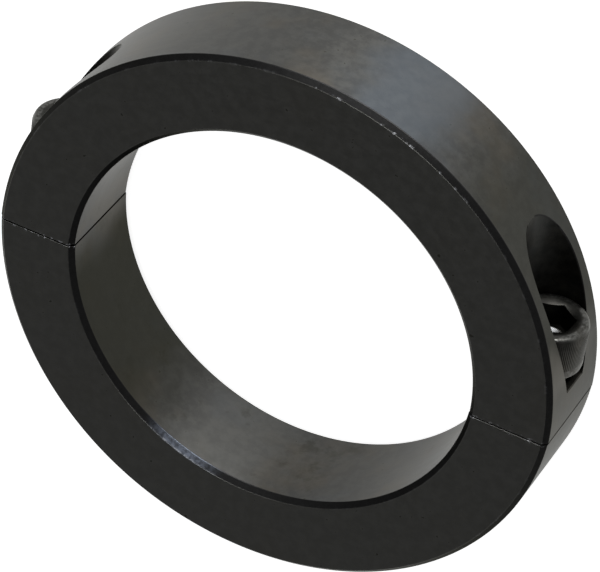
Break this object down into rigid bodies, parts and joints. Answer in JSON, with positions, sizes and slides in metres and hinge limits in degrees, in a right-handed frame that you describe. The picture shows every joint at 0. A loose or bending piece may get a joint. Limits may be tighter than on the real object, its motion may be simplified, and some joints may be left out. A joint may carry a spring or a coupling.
{
  "type": "shaft collar",
  "caption": "Split clamping collar whose counterbored and tapped steel halves are drawn round a shaft by socket head cap screws, to hold an axial position.",
  "frame": {"origin": "middle of the closed collar's footprint, on the back face that it lies on", "axes": "+Z along the shaft towards the front face, +Y out of the screw heads and away from the tapped half, +X towards the right clamp screw"},
  "size_m": [0.1142, 0.1114, 0.0222],
  "materials": {
    "collar_steel": "satin black oxide",
    "screw_steel": "satin black oxide"
  },
  "bodies": {
    "counterbored_half": {"counterbored_half": "collar_steel"},
    "tapped_half": {"tapped_half": "collar_steel"},
    "right_clamp_screw": {"right_clamp_screw": "screw_steel"},
    "left_clamp_screw": {"left_clamp_screw": "screw_steel"}
  },
  "joints": [
    {"name": "tapped_half_slide", "type": "slide", "parent": "counterbored_half", "child": "tapped_half", "axis": [0, -1, 0], "range_m": [0, 0.01482]},
    {"name": "right_screw_turn", "type": "hinge", "parent": "counterbored_half", "child": "right_clamp_screw", "pos_m": [0.0499, 0.0088, 0.01111], "axis": [0, 1, 0], "range_deg": [0, 5040]},
    {"name": "left_screw_turn", "type": "hinge", "parent": "counterbored_half", "child": "left_clamp_screw", "pos_m": [-0.0499, 0.0088, 0.01111], "axis": [0, 1, 0], "range_deg": [0, 5040]}
  ],
  "couplings": [
    {"joint": "right_screw_turn", "follows": "tapped_half_slide", "rad_per_m": 5936.9},
    {"joint": "left_screw_turn", "follows": "tapped_half_slide", "rad_per_m": 5936.9}
  ]
}
